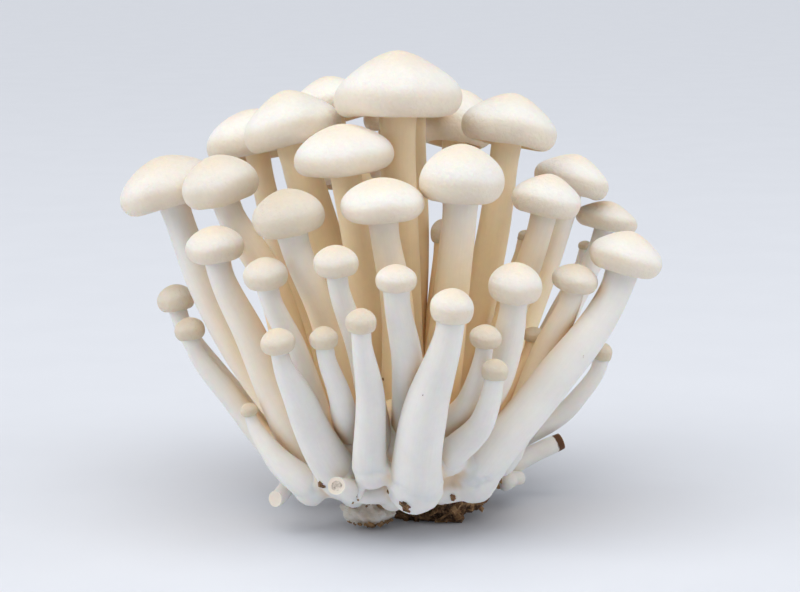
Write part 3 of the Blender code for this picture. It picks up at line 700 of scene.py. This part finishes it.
def finish(tree, shader, colour, rough, height, strength, depth):
    """Joins colour and roughness to the shader and bumps its surface by the height."""
    bump = add(tree, "ShaderNodeBump", Strength=strength, Distance=depth, Height=height)
    values = {"Base Color": colour, "Roughness": rough, "Normal": bump.outputs[0]}
    for key, value in values.items():
        put(tree, shader.inputs[key], value)


def let_light_in(shader, weight, radius, scale):
    """Light scatters under the surface, red furthest."""
    for name, value in (("Weight", weight), ("Radius", radius), ("Scale", scale)):
        shader.inputs["Subsurface " + name].default_value = value


def flesh_material(name, crown, middle, rim, stem, inner, gill, young, cleft_shade, bark):
    """Mushroom flesh: cap skin toned by height, with painted shade on its rolled lip and a peach
    crown that is partly its own tone and partly painted shade; fibrous stem; tan gills; painted
    warm light within.

    The piece's attributes say what a point is. flesh: painted warm light up the stem under the
    cap, gill, height on the cap's skin, depth in the cluster for painted warm light there.
    tone_and_shade: tan of a young cap, closeness to a neighbour for painted shade, scorch.
    grown: place along the straightened stem.
    """
    material, tree, shader = new_material(name)
    flesh, grown, tone_and_shade = (
        add(tree, "ShaderNodeAttribute", {"attribute_name": key})
        for key in ("flesh", "grown", "tone_and_shade")
    )
    parts = add(tree, "ShaderNodeSeparateColor", Color=flesh.outputs["Color"])
    share, is_gill, skin = (parts.outputs[i] for i in range(3))
    parts = add(tree, "ShaderNodeSeparateXYZ", Vector=tone_and_shade.outputs["Vector"])
    tan, near, scorch = (parts.outputs[i] for i in range(3))
    place = grown.outputs["Vector"]
    broad = noise(tree, object_place(tree), 130.0, 2.0)
    mottled = noise(tree, place, 900.0, 4.0, 0.6)
    velvet = noise(tree, place, 1250.0, 3.0, 0.6)
    fibre = noise(tree, stretched(tree, place, 1.0, 1.0, 0.045), 3000.0, 4.0, 0.6)

    # Cap skin by height: the darker rim colour on the rolled lip is painted shade, and the peach
    # crown is partly the cap's own tone and partly painted shade
    toned = mix(tree, ramp(tree, skin, 0.12, 0.40), rim, middle)
    toned = mix(tree, ramp(tree, skin, 0.50, 1.0), toned, crown)
    toned = mix(tree, tan, toned, young)
    # Painted warm light deep in the cluster, by depth, in place of light passing through the flesh
    lit = mix(tree, ramp(tree, flesh.outputs["Alpha"], 0.06, 0.42), stem, inner)
    # Painted warm light on the stem rising towards the cap, for light through the cap and the
    # shade under it
    lit = mix(tree, times(tree, ramp(tree, share, 0.45, 1.0), 0.8), lit, inner)
    is_skin = ramp(tree, skin, 0.02, 0.10)
    colour = mix(tree, is_skin, lit, toned)
    colour = mix(tree, times(tree, is_gill, 0.9), colour, gill)
    # Painted shade: a warm brown where the flesh comes close to a neighbour or lies in a crevice
    # between the feet
    colour = mix(tree, times(tree, near, 0.85), colour, cleft_shade)
    flaky = maths(tree, "ADD", scorch, times(tree, mottled, 0.5))
    colour = mix(tree, ramp(tree, flaky, 0.62, 0.85), colour, bark)

    shade = ramp(tree, broad, 0.30, 0.70, 0.975, 1.02)
    fine = ramp(tree, mottled, 0.25, 0.75, 0.985, 1.01)
    dimple = mix(tree, is_skin, rgb(1, 1, 1), ramp(tree, velvet, 0.32, 0.62, 0.982, 1.004))
    fine = times(tree, fine, dimple)
    strand = ramp(tree, fibre, 0.25, 0.75, 0.985, 1.008)
    smooth = times(tree, is_skin, maths(tree, "SUBTRACT", 1.0, strand))
    strand = maths(tree, "ADD", smooth, strand)
    level = times(tree, times(tree, shade, fine), strand)
    bright = add(tree, "ShaderNodeVectorMath", {"operation": "SCALE"}, Scale=level)
    put(tree, bright.inputs[0], colour)

    rough = ramp(tree, mottled, 0.2, 0.8, 0.46, 0.62)
    height = mix(tree, is_skin, times(tree, fibre, 0.12), velvet)
    finish(tree, shader, bright.outputs[0], rough, height, 0.8, 0.0003)
    let_light_in(shader, 0.5, (1.0, 0.52, 0.26), 0.0013)
    shader.inputs["Specular IOR Level"].default_value = 0.35
    shader.inputs["IOR"].default_value = 1.4
    return material


def mycelium_material():
    """Felted threads: off-white with warm hollows, fine soft bumps."""
    material, tree, shader = new_material("mycelium_felt")
    world = object_place(tree)
    broad = noise(tree, world, 260.0, 4.0, 0.6)
    fine = noise(tree, world, 2200.0, 4.0, 0.7)
    speck = ramp(tree, noise(tree, world, 620.0, 3.0, 0.7), 0.68, 0.78)
    felt = ramp(tree, broad, 0.35, 0.65)
    colour = mix(tree, felt, rgb(0.76, 0.66, 0.54), rgb(0.90, 0.86, 0.80))
    colour = mix(tree, speck, colour, rgb(0.40, 0.27, 0.15))
    height = maths(tree, "ADD", fine, times(tree, broad, 2.0))
    finish(tree, shader, colour, ramp(tree, fine, 0.2, 0.8, 0.7, 0.92), height, 0.6, 0.0005)
    let_light_in(shader, 0.3, (1.0, 0.55, 0.3), 0.0015)
    return material


def soil_material(name, dark, middle, pale):
    """Crumbly growing medium: dark and tan grains, rough bumps."""
    material, tree, shader = new_material(name)
    world = object_place(tree)
    patch = noise(tree, world, 420.0, 4.0, 0.6)
    grain = noise(tree, world, 1800.0, 4.0, 0.7)
    colour = mix(tree, ramp(tree, patch, 0.38, 0.62), dark, middle)
    colour = mix(tree, ramp(tree, grain, 0.56, 0.70), colour, pale)
    height = maths(tree, "ADD", grain, patch)
    finish(tree, shader, colour, ramp(tree, grain, 0.2, 0.8, 0.75, 0.98), height, 0.9, 0.0007)
    return material


def floor_material():
    """Pale matt studio floor with a very faint grain."""
    material, tree, shader = new_material("studio_floor")
    grain = ramp(tree, noise(tree, object_place(tree), 40.0, 3.0), 0.3, 0.7)
    colour = mix(tree, grain, rgb(0.755, 0.785, 0.855), rgb(0.765, 0.795, 0.865))
    put(tree, shader.inputs["Base Color"], colour)
    shader.inputs["Roughness"].default_value = 0.85
    shader.inputs["Specular IOR Level"].default_value = 0.2
    return material


# ---------------------------------------------------------------- base


def waves(points, rng, size, count, power):
    """A smooth random field: sine waves in random directions, finer ones fainter."""
    total = np.zeros(points.shape[:-1])
    for step in range(count):
        direction = rng.normal(size=3)
        direction /= np.linalg.norm(direction)
        long = size / (1.35**step)
        total += np.sin(points @ direction * 2 * np.pi / long + rng.uniform(0, 6.3)) * power**step
    return total / count**0.5


def lump_surface(name, material):
    """The pale lump: ball directions times half widths, swollen by random waves that fade towards
    the poles, drawn in below and flattened underneath."""
    rng = seeded(name)
    centre = np.array(LUMP_CENTRE) - (0, 0, LUMP_DROP)
    half = np.array(LUMP_HALF)
    ball = ball_rings(70, 120)
    swell = 0.17 * waves(ball * half, rng, 4.5, 9, 0.82) * ball[:, :1, 0] ** 0.5
    rings = centre + ball * half * (1 + swell)[..., None]
    pinch = 1 - 0.35 * np.clip(-ball[..., 2:], 0, 1)
    rings[..., :2] = (rings[..., :2] - centre[:2]) * pinch + centre[:2]
    rings[..., 2] -= LUMP_FLAT * np.minimum(rings[..., 2] - centre[2], 0)
    rings[..., 2] = np.maximum(rings[..., 2], 0)
    low = centre - (0, 0, (1 - LUMP_FLAT) * half[2])
    mesh = closed_grid(name + "_surface", rings, low, centre + (0, 0, half[2]), {})
    return place_piece(name, mesh, material, "mycelium_lump")


def foot_shells(lines):
    """Closed shells that make up the base: balls between the feet, and the lowest part of every
    stem, whose radius is a little over the stem's at the foot and under it higher up."""
    shells = []
    ball, turn = ball_rings(32, 48), even_turns(48)
    for centre, half in FILL_BALLS:
        pole = np.array([0, 0, half[2]])
        shells.append((centre + ball * half, centre - pole, centre + pole))
    for row, line in zip(ROWS, lines):
        if row[0] in LOOSE_STUBS:
            continue
        path = fine_line(line, STEM_ROWS)
        u, profile = stem_profile(row[6])
        profile = profile + np.interp(u, (0.0, 0.10, FUSED_SHARE), FUSED_OVER)
        frames = carried_frames(path, path[-1] - path[-2])
        tube = stem_tube(path, frames, profile, np.ones((STEM_ROWS, 1)), turn)
        keep = u <= FUSED_SHARE
        shells.append((np.concatenate([tube[1], tube[2][keep]]), tube[3], path[keep][-1]))
    return shells


def read_points(mesh, key="co"):
    """The mesh's vertex positions, or its normals, as rows of three."""
    values = np.empty(len(mesh.vertices) * 3)
    mesh.vertices.foreach_get(key, values)
    return values.reshape(-1, 3)


def fused_base(name, lines, material):
    """The flesh that the feet run together in, one closed skin.

    A voxel remesh makes one skin of the shells, smoothing rounds the clefts, and slow random
    waves along the normals make it uneven.
    """
    points, faces, shift = [], [], 0
    for i, shell in enumerate(foot_shells(lines)):
        mesh = closed_grid(f"{name}_shell_{i}", *shell, {})
        points.append(read_points(mesh))
        faces += [[v + shift for v in face.vertices] for face in mesh.polygons]
        shift += len(mesh.vertices)
        bpy.data.meshes.remove(mesh)
    mesh = bpy.data.meshes.new(name + "_shells")
    mesh.from_pydata(np.concatenate(points), [], faces)
    rough = bpy.data.objects.new(name + "_rough", mesh)
    bpy.context.scene.collection.objects.link(rough)
    skin = rough.modifiers.new("skin", "REMESH")
    skin.mode = "VOXEL"
    skin.voxel_size = FUSED_CELL * MM
    skin.use_smooth_shade = True
    soft = rough.modifiers.new("soft", "SMOOTH")
    soft.factor = 0.5
    soft.iterations = FUSED_SMOOTH
    seen = rough.evaluated_get(bpy.context.evaluated_depsgraph_get())
    mesh = bpy.data.meshes.new_from_object(seen)
    bpy.data.objects.remove(rough)
    mesh.name = name + "_surface"
    mesh.shade_smooth()
    co, normal = read_points(mesh), read_points(mesh, "normal")
    swell = 0.16 * waves(co / MM, seeded(name), 5.0, 9, 0.85)
    co = co + normal * swell[:, None] * MM
    mesh.vertices.foreach_set("co", co.ravel())
    mesh.update()
    # Painted warm light deep in the cluster
    depth = painted_light_depth(co / MM)
    none = 0 * depth
    # Painted shade in the crevices between the feet
    cleft_shade = hollows(mesh, co / MM, normal)
    away = co / MM - np.array(MOUND_CENTRE)
    reach = np.linalg.norm(away, axis=1)
    flat = away / reach[:, None] * 12 * MM
    grown = np.stack([flat[:, 0] + 3, flat[:, 1] + 5, reach * MM], -1)
    paint(mesh, "flesh", np.stack([none, none, none, depth], -1))
    paint(mesh, "grown", grown)
    paint(mesh, "tone_and_shade", np.stack([none, cleft_shade, none], -1))
    return place_piece(name, mesh, material, "mycelium_mound")


def hollows(mesh, points, normal):
    """How deep each point lies in a crevice, 0 to 1: the mask of painted shade in the crevices
    between the feet.

    The points are averaged with their neighbours a few rounds; a point that this carries outwards
    along its normal lies in a hollow. The share is averaged with its neighbours too.
    """
    ends = np.empty(len(mesh.edges) * 2, int)
    mesh.edges.foreach_get("vertices", ends)
    a, b = ends.reshape(-1, 2).T
    count = len(points)
    met = np.bincount(a, minlength=count) + np.bincount(b, minlength=count)

    def mean(value):
        return (np.bincount(a, value[b], count) + np.bincount(b, value[a], count)) / met

    eased = points.T.copy()
    for _ in range(14):
        eased = np.array([mean(row) for row in eased])
    sunk = np.clip(((eased.T - points) * normal).sum(1) / 0.28, 0, 1)
    for _ in range(2):
        sunk = mean(sunk)
    return 0.65 * sunk


def block_surface(name, material):
    """The torn block: a drum whose radius swells with random waves, flat below, rough above."""
    rng = seeded(name)
    heights = np.linspace(0, 1, 26)
    turn = even_turns(220)
    centre = np.array([*BLOCK_CENTRE, 0.0])
    rings = centre + upright(1 + 0 * heights, turn, heights) * (*BLOCK_HALF, BLOCK_HEIGHT)
    swell = 0.97 + 0.05 * waves(rings, rng, 9.0, 12, 0.86)
    belly = BLOCK_WAIST + (1 - BLOCK_WAIST) * heights[:, None] ** 0.7
    grow = (swell * belly * block_reach(turn))[..., None]
    rings[..., :2] = (rings[..., :2] - centre[:2]) * grow + centre[:2]
    rings[..., 2] += side_lift(rings[..., :2], heights[:, None])

    def drawn_in(ring, share):
        ring = ring.copy()
        ring[:, :2] = (ring[:, :2] - centre[:2]) * share + centre[:2]
        return ring

    tops = []
    for share in (0.9, 0.75, 0.5, 0.25):
        tops.append(drawn_in(rings[-1], share))
        tops[-1][:, 2] += 0.5 * waves(tops[-1], rng, 6.0, 6, 0.8)
    under = [drawn_in(rings[0], share) for share in (0.3, 0.8)]
    rings = np.concatenate([np.array(under), rings, np.array(tops)])
    mesh = closed_grid(name + "_surface", rings, centre, centre + (0, 0, BLOCK_HEIGHT), {})
    return place_piece(name, mesh, material, "substrate_block")


def chips(name, centres, sizes, rng, material):
    """Crumbs: small boxes with pushed-about corners, each turned by a random quaternion, in one
    mesh."""
    count = len(centres)
    corner = np.array([[x, y, z] for x in (-1, 1) for y in (-1, 1) for z in (-1, 1)], float)
    faces = [[0, 1, 3, 2], [4, 6, 7, 5], [0, 4, 5, 1], [2, 3, 7, 6], [0, 2, 6, 4], [1, 5, 7, 3]]
    shape = corner[None] * (1 + rng.uniform(-0.35, 0.35, (count, 8, 3))) * sizes[:, None]
    quat = rng.normal(size=(count, 4))
    w, x, y, z = (quat / np.linalg.norm(quat, axis=1)[:, None]).T
    rows = (
        (1 - 2 * (y * y + z * z), 2 * (x * y - z * w), 2 * (x * z + y * w)),
        (2 * (x * y + z * w), 1 - 2 * (x * x + z * z), 2 * (y * z - x * w)),
        (2 * (x * z - y * w), 2 * (y * z + x * w), 1 - 2 * (x * x + y * y)),
    )
    turn = np.moveaxis(np.array(rows), -1, 0)
    points = np.einsum("nij,nkj->nki", turn, shape) + centres[:, None]
    points[..., 2] = np.maximum(points[..., 2], 0.0)
    index = (np.array(faces)[None] + 8 * np.arange(count)[:, None, None]).reshape(-1, 4)
    mesh = bpy.data.meshes.new(name + "_surface")
    mesh.from_pydata(points.reshape(-1, 3) * MM, [], index.tolist())
    mesh.update()
    return place_piece(name, mesh, material, "substrate_block")


# ---------------------------------------------------------------- the whole

# How much a cap rises to a point in place of a round crown: caps named here, other caps under
# YOUNG_WIDTH, and the rest
POINTED = {
    "crown_mushroom_4": 0.3,
    "crown_mushroom_8": 0.2,
    "crown_mushroom_9": 0.2,
    "front_mushroom_1": 0.3,
    "front_mushroom_2": 0.25,
    "front_mushroom_3": 0.25,
    "left_mushroom_1": 0.3,
    "left_mushroom_2": 0.3,
}
POINTED_YOUNG = 0.18
POINTED_GROWN = 0.6
YOUNG_WIDTH = 11.0
# Painted warm light on a stem right under its cap, standing in for light through the caps and the
# shade under them, group by group, and in the groups not named
PAINTED_GLOW = {"crown_mushroom": 1.0, "back_mushroom": 0.8, "front_mushroom": 0.25, "stub": 0.2}
PAINTED_GLOW_ELSEWHERE = 0.45
# Brown on a stub's last rings, from its side to the middle of its cut
SCORCH = {
    "stub_1": (0.4, 0.65, 0.85, 0.95, 0.98, 0.95, 0.9, 0.85),
    "stub_2": (0.0, 0.1, 0.2),
    "stub_3": (0.15, 0.1, 0.42),
    "stub_4": (0.1, 0.2, 0.25),
    "stub_5": (0.1, 0.2, 0.2),
}
# Specks on the flesh: shade, stem, share of its length, turn from the front and dip below level
# in degrees, spread and size in millimetres, and number
FLECKS = (
    ("dark", "front_mushroom_7", 0.0, -24, 26, 0.40, 0.30, 18),
    ("pale", "front_mushroom_7", 0.0, -24, 24, 0.22, 0.36, 9),
    ("dark", "front_mushroom_7", 0.0, -78, 4, 0.10, 0.20, 3),
    ("dark", "right_mushroom_1", 0.0, -50, 22, 0.18, 0.34, 7),
    ("dark", "front_mushroom_9", 0.0, -46, 10, 0.30, 0.30, 9),
    ("dark", "front_mushroom_2", 0.36, -62, 0, 0.12, 0.16, 3),
    ("pale", "front_mushroom_2", 0.52, 60, 0, 0.40, 0.15, 6),
    ("dark", "front_mushroom_7", 0.63, -22, 0, 0.03, 0.09, 2),
    ("pale", "front_mushroom_9", 0.58, -10, 0, 0.05, 0.10, 2),
    ("pale", "front_mushroom_9", 0.36, 5, 0, 0.05, 0.11, 2),
    ("pale", "front_mushroom_11", 0.20, 35, 0, 0.05, 0.11, 2),
    ("pale", "right_mushroom_1", 0.45, 10, 0, 0.30, 0.10, 4),
    ("pale", "right_mushroom_1", 0.62, 20, 0, 0.30, 0.09, 3),
    ("dark", "stub_3", 0.0, 20, 25, 0.50, 0.14, 6),
)
# How tan a cap is, where it isn't told by its width alone
TANNED = {
    "front_mushroom_3": 0.5,
    "front_mushroom_6": 0.35,
    "left_mushroom_1": 0.14,
    "left_mushroom_2": 0.2,
    "left_mushroom_3": 0.15,
    "left_mushroom_4": 0.55,
    "left_mushroom_5": 0.6,
    "front_mushroom_4": 0.1,
    "front_mushroom_5": 0.25,
    "front_mushroom_7": 0.15,
    "front_mushroom_8": 0.2,
    "right_mushroom_4": 0.2,
    "right_mushroom_5": 0.3,
}


# Numbers of crumbs and wood chips on the block, and of crumbs on the lump
CRUMBS = 1100
WOOD_CHIPS = 240
LUMP_CRUMBS = 34


def solid_balls(lines):
    """Balls that fill every stem and cap, their radii and the row that each belongs to."""
    balls, sizes, owners = [], [], []
    for i, (row, line) in enumerate(zip(ROWS, lines)):
        balls.append(fine_line(line, 30))
        sizes.append(stem_radii(row[6], 30))
        if row[5][0]:
            centres, radii = cap_balls(cap_axis(row[4]), *row[5])
            balls.append(line[-1] + centres)
            sizes.append(radii)
        owners += [i] * (sum(map(len, balls)) - len(owners))
    balls = np.concatenate(balls).astype(np.float32)
    return balls, np.concatenate(sizes).astype(np.float32), np.array(owners)


def make_cluster():
    """Every mushroom and cut stem on its spread line, then the base."""
    flesh = flesh_material(
        "beech_flesh",
        # The peach crown is partly the cap's own tone and partly painted shade at the top of the
        # cap
        crown=rgb(0.94, 0.83, 0.69),
        middle=rgb(0.95, 0.915, 0.86),
        # The darker rim colour is painted shade on the cap's rolled lip
        rim=rgb(0.86, 0.78, 0.665),
        stem=rgb(0.85, 0.833, 0.80),
        # The inner colour is painted warm light, deep in the cluster and on the stems under the
        # caps
        inner=rgb(0.97, 0.77, 0.51),
        gill=rgb(0.84, 0.64, 0.42),
        young=rgb(0.66, 0.565, 0.42),
        # Painted shade in the crevices where flesh comes close to a neighbour
        cleft_shade=rgb(0.80, 0.52, 0.24),
        bark=rgb(0.12, 0.05, 0.02),
    )
    soil = soil_material(
        "growing_medium", rgb(0.07, 0.032, 0.014), rgb(0.33, 0.175, 0.08), rgb(0.62, 0.44, 0.26)
    )
    wood = soil_material(
        "wood_chip", rgb(0.24, 0.12, 0.05), rgb(0.48, 0.29, 0.14), rgb(0.70, 0.50, 0.30)
    )
    lines = spread_lines()
    solid = solid_balls(lines)
    for i, (row, line) in enumerate(zip(ROWS, lines)):
        name, _, _, _, lean, cap, radii = row
        young = float(np.clip((YOUNG_WIDTH - cap[0]) / 10.0, 0.0, 0.7))
        bell = POINTED.get(name, POINTED_YOUNG if cap[0] < YOUNG_WIDTH else POINTED_GROWN)
        painted_glow = PAINTED_GLOW.get(name.rpartition("_")[0], PAINTED_GLOW_ELSEWHERE)
        tone = TANNED.get(name, young)
        mushroom(name, line, lean, cap, radii, bell, tone, painted_glow, (i, *solid), flesh)
    feet = fused_base("fused_feet", lines, flesh)
    lump_surface("lump_felt", mycelium_material())
    block_surface("medium_block", soil)
    rng = np.random.default_rng(11)
    centres = block_skin(rng, CRUMBS, 0.94, 1.04)
    sizes = rng.uniform(0.15, 0.75, (CRUMBS, 1)) * rng.uniform(0.6, 1.3, (CRUMBS, 3))
    chips("medium_crumbs", centres, sizes, rng, soil)
    centres = block_skin(rng, WOOD_CHIPS, 0.96, 1.03)
    spans = ((0.6, 2.0), (0.25, 0.7), (0.1, 0.25))
    sizes = np.stack([rng.uniform(*span, WOOD_CHIPS) for span in spans], -1)
    chips("wood_chips", centres, sizes, rng, wood)
    crumb_lump(rng, wood)
    scatter_flecks(lines, feet.data, rng, soil, wood)


def crumb_lump(rng, material):
    """Crumbs on the front of the lump, near its top and under its edge."""
    turn = rng.uniform(np.pi, 2 * np.pi, LUMP_CRUMBS)
    high = np.where(rng.uniform(0, 1, LUMP_CRUMBS) < 0.5, 0.7, -0.75)
    high = np.clip(high + rng.normal(0, 0.12, LUMP_CRUMBS), -0.95, 0.95)
    round_lump = np.stack([np.cos(turn), np.sin(turn), 0 * turn], -1)
    round_lump *= (1 - high[:, None] ** 2) ** 0.5
    round_lump[:, 2] = np.where(high < 0, (1 - LUMP_FLAT) * high, high)
    centres = np.array(LUMP_CENTRE) + round_lump * np.array(LUMP_HALF)
    sizes = rng.uniform(0.10, 0.42, (LUMP_CRUMBS, 1)) * rng.uniform(0.6, 1.4, (LUMP_CRUMBS, 3))
    chips("lump_crumbs", centres, sizes, rng, material)


def block_skin(rng, count, near, far):
    """Random places on the block's side, lifted as its side is."""
    turn = rng.uniform(0, 2 * np.pi, count)
    high = rng.uniform(0.0, 1.0, count)
    flare = BLOCK_WAIST + (1 - BLOCK_WAIST) * high**0.7
    reach = rng.uniform(near, far, count) * flare * 0.97 * block_reach(turn)
    flat = np.stack([np.cos(turn), np.sin(turn)], -1) * np.array(BLOCK_HALF) * reach[:, None]
    flat = flat + np.array(BLOCK_CENTRE)
    return np.concatenate([flat, (BLOCK_HEIGHT * high + side_lift(flat, high))[:, None]], 1)


def block_reach(turn):
    """How much further the torn block reaches at each turn round it: a hump at the front right."""
    return 1 + 0.40 * np.exp(-(((turn - np.radians(310)) / 0.55) ** 2))


def side_lift(flat, high):
    """How far the torn side hangs clear of the ground, towards the right and the front left."""
    right = np.clip(flat[..., 0] - 9.0, 0, None) * np.clip(1 - flat[..., 1] / 12.0, 0, 1)
    left = np.clip(1.5 - flat[..., 0], 0, None) * np.clip(-flat[..., 1] / 8.0, 0, 1)
    return right * (0.45 - 0.19 * high) + left * 0.22 * (1 - high)


def scatter_flecks(lines, feet, rng, dark, pale):
    """Specks of growing medium stuck to the flesh: small flat chips half sunk in the skin.

    Each speck is placed by its stem, the share of the stem's length, the turn round it from the
    front and the dip below level. On a foot it is dropped on to the nearest point of the skin
    that the feet share.
    """
    names = [row[0] for row in ROWS]
    faces = [tuple(face.vertices) for face in feet.polygons]
    skin = BVHTree.FromPolygons((read_points(feet) / MM).tolist(), faces)
    for key, material in (("dark", dark), ("pale", pale)):
        centres, sizes = [], []
        for kind, node, share, turn, dip, spread, size, count in FLECKS:
            if kind != key:
                continue
            i = names.index(node)
            path = fine_line(lines[i], 101)
            radius = stem_radii(ROWS[i][6], 101)[int(share * 100)]
            turn = np.radians(turn + rng.normal(0, spread, count) / radius * 57.3)
            dip = np.radians(dip + rng.normal(0, spread, count) / radius * 57.3)
            away = np.stack(
                [np.sin(turn) * np.cos(dip), -np.cos(turn) * np.cos(dip), -np.sin(dip)], -1
            )
            spots = path[int(share * 100)] + away * radius * 0.99
            if share == 0:
                spots = spots + away * radius * 0.4
                spots = np.array([skin.find_nearest(Vector(spot))[0] for spot in spots])
            centres.append(spots)
            sizes.append(size * rng.uniform(0.5, 1.3, (count, 3)))
        chips(f"{key}_flecks", np.concatenate(centres), np.concatenate(sizes), rng, material)


def lay_floor():
    """A plain level floor."""
    reach = 8.0
    corners = [(-reach, -reach, 0), (reach, -reach, 0), (reach, reach, 0), (-reach, reach, 0)]
    mesh = bpy.data.meshes.new("floor_surface")
    mesh.from_pydata(corners, [], [(0, 1, 2, 3)])
    mesh.materials.append(floor_material())
    floor = bpy.data.objects.new("floor", mesh)
    bpy.context.scene.collection.objects.link(floor)


def aim(thing, place, target):
    thing.location = place
    thing.rotation_euler = (Vector(target) - Vector(place)).to_track_quat("-Z", "Y").to_euler()
    bpy.context.scene.collection.objects.link(thing)


# Lamps at either side: name, place and power in watts
LAMPS = (("left_lamp", (-0.75, -0.22, 0.32), 1.7), ("right_lamp", (0.75, -0.18, 0.34), 1.45))
LAMP_WIDTH = 0.5
LAMP_COLOUR = (1.0, 0.99, 0.97)


def light_studio():
    """A broad soft light from above, a large lamp on either side and an even sky."""
    world = bpy.data.worlds.new("studio_sky")
    bpy.context.scene.world = world
    world.use_nodes = True
    sky = world.node_tree.nodes["Background"]
    sky.inputs["Color"].default_value = rgb(0.93, 0.96, 1.0)
    sky.inputs["Strength"].default_value = 0.29
    sun = bpy.data.lights.new("ceiling_light", "SUN")
    sun.angle = np.radians(75.0)
    sun.energy = 2.02
    sun.color = LAMP_COLOUR
    aim(bpy.data.objects.new("ceiling_light", sun), (-0.08, -0.26, 1.0), (0, 0, 0))
    for name, place, watts in LAMPS:
        lamp = bpy.data.lights.new(name, "AREA")
        lamp.shape = "DISK"
        lamp.size = LAMP_WIDTH
        lamp.energy = watts
        lamp.color = LAMP_COLOUR
        aim(bpy.data.objects.new(name, lamp), place, (0, 0, 0.05))


# The camera: distance, height of the point it looks at, rise in degrees and focal length
CAMERA_AWAY = 0.42
CAMERA_TARGET = 0.042
CAMERA_RISE = 10.0
CAMERA_LENS = 99.5


def set_camera():
    """Long lens, a little above level, straight from the front."""
    lens = bpy.data.cameras.new("studio_camera")
    lens.sensor_width = 36.0
    lens.lens = CAMERA_LENS
    lens.clip_start = 0.01
    lens.clip_end = 50.0
    rise = np.radians(CAMERA_RISE)
    place = (0.0, -CAMERA_AWAY * np.cos(rise), CAMERA_TARGET + CAMERA_AWAY * np.sin(rise))
    camera = bpy.data.objects.new("studio_camera", lens)
    aim(camera, place, (0.0, 0.0, CAMERA_TARGET))
    bpy.context.scene.camera = camera


bpy.context.scene.view_settings.view_transform = "Standard"
make_cluster()
lay_floor()
light_studio()
set_camera()
